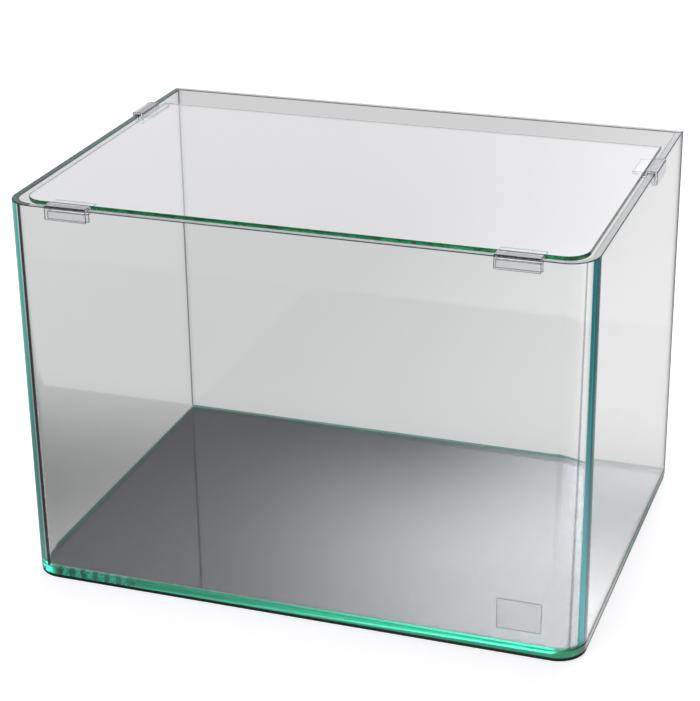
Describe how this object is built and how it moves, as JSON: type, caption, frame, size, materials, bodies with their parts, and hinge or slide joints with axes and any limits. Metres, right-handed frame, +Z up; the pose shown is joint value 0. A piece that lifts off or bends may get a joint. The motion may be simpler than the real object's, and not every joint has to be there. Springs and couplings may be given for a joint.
{
  "type": "nano aquarium",
  "caption": "Frameless glass aquarium with a pane bent round the front corners and a loose cover glass that lies on clear clips pushed over the rim.",
  "frame": {"origin": "on the surface that the tank stands on, at the middle of its outline with the clips on", "axes": "+X to the viewer's right along the front, +Y to the back, +Z up"},
  "size_m": [0.4038, 0.29, 0.2817],
  "materials": {
    "clear_glass": "polished, green at the ground edges",
    "clear_plastic": "clear, glossy",
    "silicone": "clear, soft sheen",
    "foam": "matte black foam",
    "clear_film": "clear film, bare"
  },
  "bodies": {
    "tank": {"foam_mat": "foam", "base_pane": "clear_glass", "bent_wall": "clear_glass", "back_pane": "clear_glass", "foot_seam": "silicone", "corner_seam_left": "silicone", "corner_seam_right": "silicone", "front_film": "clear_film"},
    "cover": {"cover_glass": "clear_glass"},
    "clip_front_left": {"rim_clip_front_left": "clear_plastic"},
    "clip_front_right": {"rim_clip_front_right": "clear_plastic"},
    "clip_left": {"rim_clip_left": "clear_plastic"},
    "clip_right": {"rim_clip_right": "clear_plastic"}
  },
  "joints": [
    {"name": "cover_lift", "type": "slide", "parent": "tank", "child": "cover", "axis": [0, 0, 1], "range_m": [0, 0.06]},
    {"name": "clip_front_left_slide", "type": "slide", "parent": "tank", "child": "clip_front_left", "axis": [1, 0, 0], "range_m": [-0.0115, 0.132]},
    {"name": "clip_front_right_slide", "type": "slide", "parent": "tank", "child": "clip_front_right", "axis": [1, 0, 0], "range_m": [-0.132, 0.0115]},
    {"name": "clip_left_slide", "type": "slide", "parent": "tank", "child": "clip_left", "axis": [0, 1, 0], "range_m": [-0.189, 0.04]},
    {"name": "clip_right_slide", "type": "slide", "parent": "tank", "child": "clip_right", "axis": [0, 1, 0], "range_m": [-0.162, 0.067]}
  ]
}
